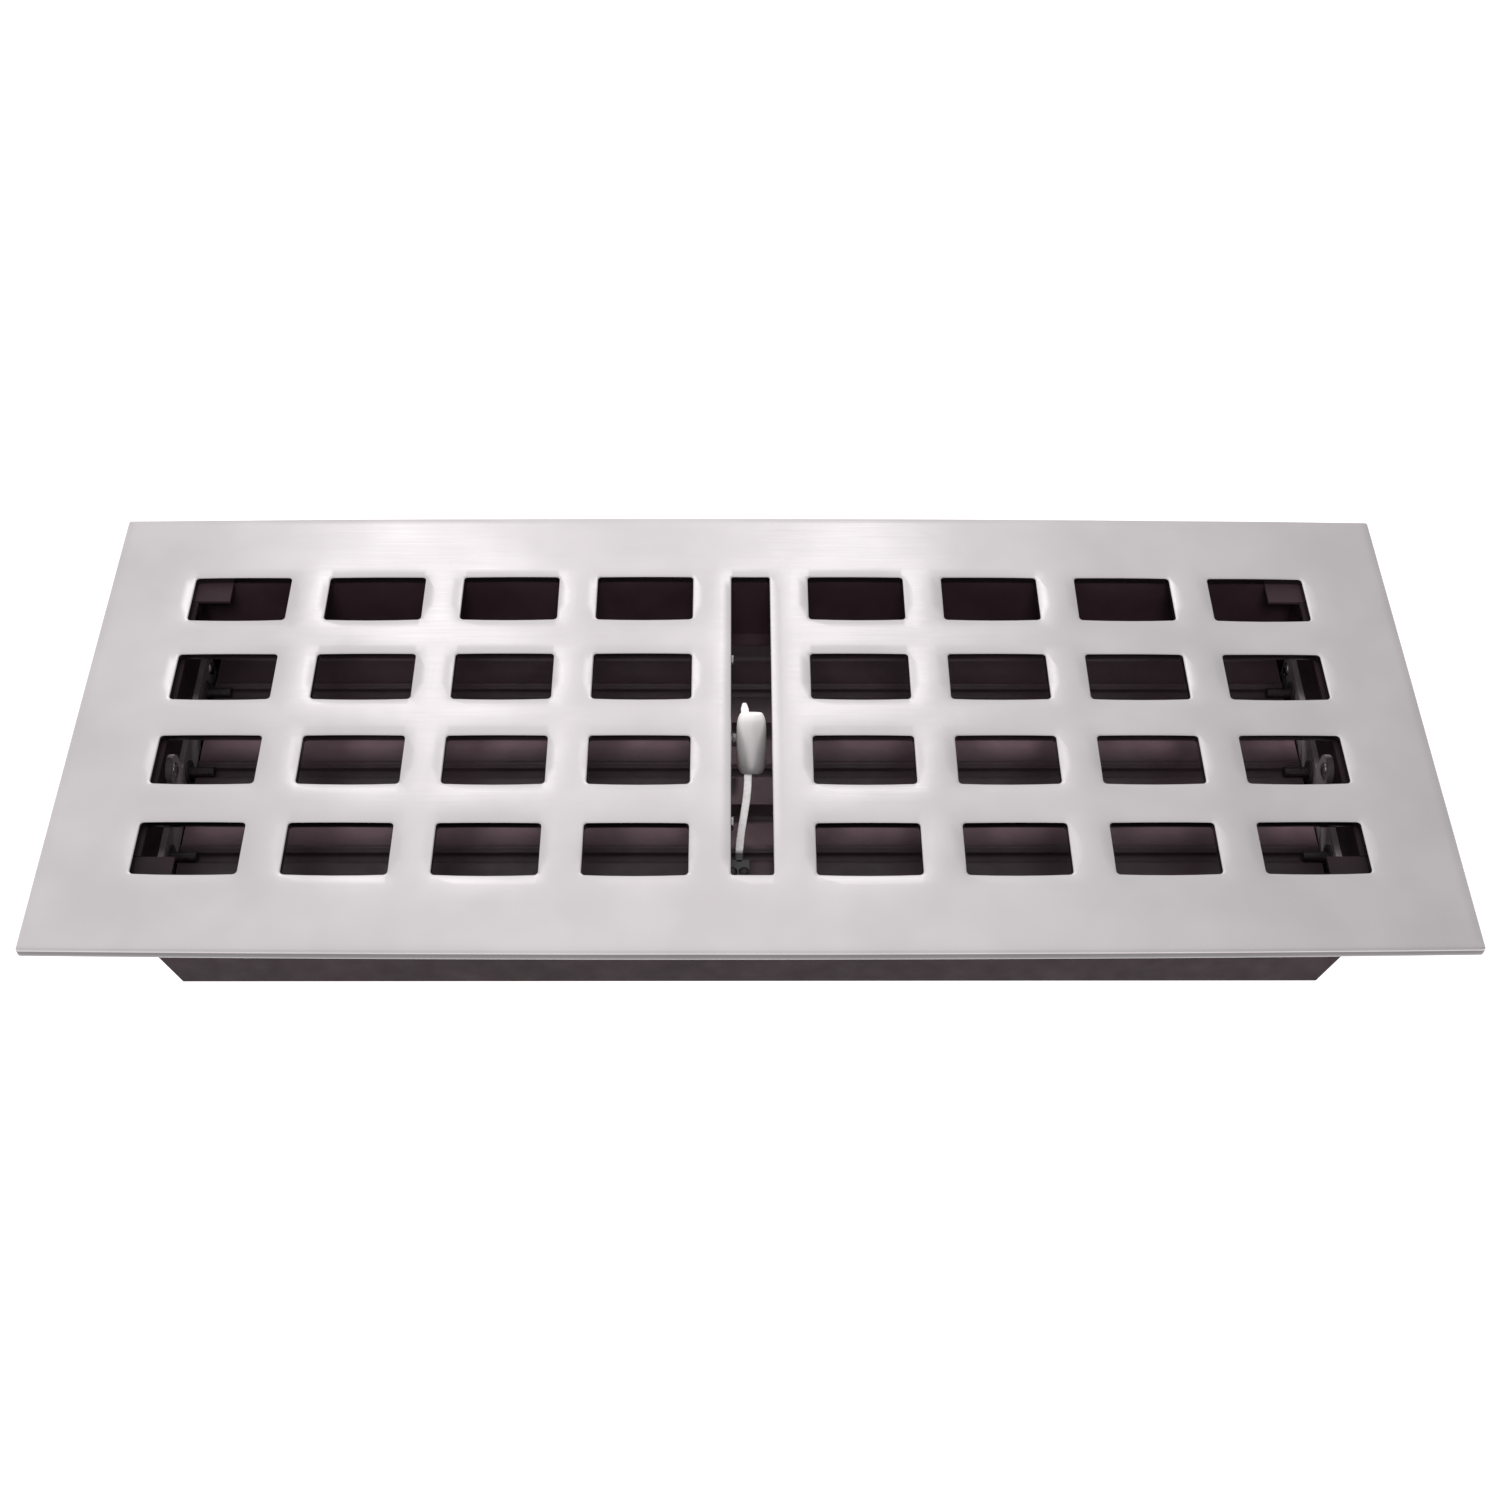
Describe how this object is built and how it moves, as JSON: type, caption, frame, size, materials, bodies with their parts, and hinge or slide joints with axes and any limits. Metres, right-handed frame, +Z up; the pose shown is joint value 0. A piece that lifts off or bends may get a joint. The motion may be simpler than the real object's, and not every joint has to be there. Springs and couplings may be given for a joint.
{
  "type": "louvred floor register",
  "caption": "Floor register: cast faceplate with rectangular air holes over a sheet-steel damper box whose linked blades open and close with a lever in a centre slot.",
  "frame": {"origin": "centre of the register in plan, on the plane of the damper box's lower edge", "axes": "+X along the faceplate, +Y from the front edge to the rear edge, +Z up through the faceplate"},
  "size_m": [0.343, 0.14, 0.0519],
  "materials": {
    "cast_plate": "satin brushed nickel plate over cast metal",
    "knob_nickel": "satin nickel",
    "box_paint": "dark brown satin paint on sheet steel",
    "blade_paint": "dark brown semi-gloss paint on sheet steel",
    "rail_steel": "thin brown paint on strip steel",
    "plated_steel": "bright zinc plate",
    "dull_steel": "dulled zinc plate",
    "lever_steel": "pale zinc plated strip steel",
    "spring_steel": "blackened spring steel",
    "bush_nylon": "brown-black nylon"
  },
  "bodies": {
    "housing": {"faceplate": "cast_plate", "front_wall": "box_paint", "rear_wall": "box_paint", "left_end_wall": "box_paint", "right_end_wall": "box_paint", "corner_rivets": "box_paint", "mounting_screws": "plated_steel", "left_pivot_rail": "rail_steel", "right_pivot_rail": "rail_steel", "rail_rivets": "plated_steel", "pivot_bushes": "bush_nylon", "front_stop_strip": "box_paint", "rear_stop_strip": "box_paint", "stop_rivets": "box_paint"},
    "front_damper": {"front_blade": "blade_paint", "front_pivot_pins": "dull_steel", "front_link_pin": "plated_steel", "front_link_clip": "spring_steel", "lever_strip": "lever_steel", "lever_rivets": "dull_steel", "lever_knob": "knob_nickel"},
    "middle_damper": {"middle_blade": "blade_paint", "middle_pivot_pins": "dull_steel", "middle_link_pin": "plated_steel", "middle_link_clip": "spring_steel", "link_spring": "plated_steel"},
    "rear_damper": {"rear_blade": "blade_paint", "rear_pivot_pins": "dull_steel", "rear_link_pin": "plated_steel", "rear_link_clip": "spring_steel"},
    "link": {"link_bar": "rail_steel"}
  },
  "joints": [
    {"name": "front_blade_pivot", "type": "hinge", "parent": "housing", "child": "front_damper", "pos_m": [0, -0.0265, 0.024], "axis": [1, 0, 0], "range_deg": [0, 75]},
    {"name": "middle_blade_pivot", "type": "hinge", "parent": "housing", "child": "middle_damper", "pos_m": [0, 0.0005, 0.024], "axis": [1, 0, 0], "range_deg": [0, 75]},
    {"name": "rear_blade_pivot", "type": "hinge", "parent": "housing", "child": "rear_damper", "pos_m": [0, 0.0275, 0.024], "axis": [1, 0, 0], "range_deg": [0, 75]},
    {"name": "link_pivot", "type": "hinge", "parent": "front_damper", "child": "link", "pos_m": [-0.0077, -0.0215, 0.032], "axis": [1, 0, 0], "range_deg": [-75, 0]}
  ],
  "couplings": [
    {"joint": "middle_blade_pivot", "follows": "front_blade_pivot", "ratio": 1},
    {"joint": "rear_blade_pivot", "follows": "front_blade_pivot", "ratio": 1},
    {"joint": "link_pivot", "follows": "front_blade_pivot", "ratio": -1}
  ]
}
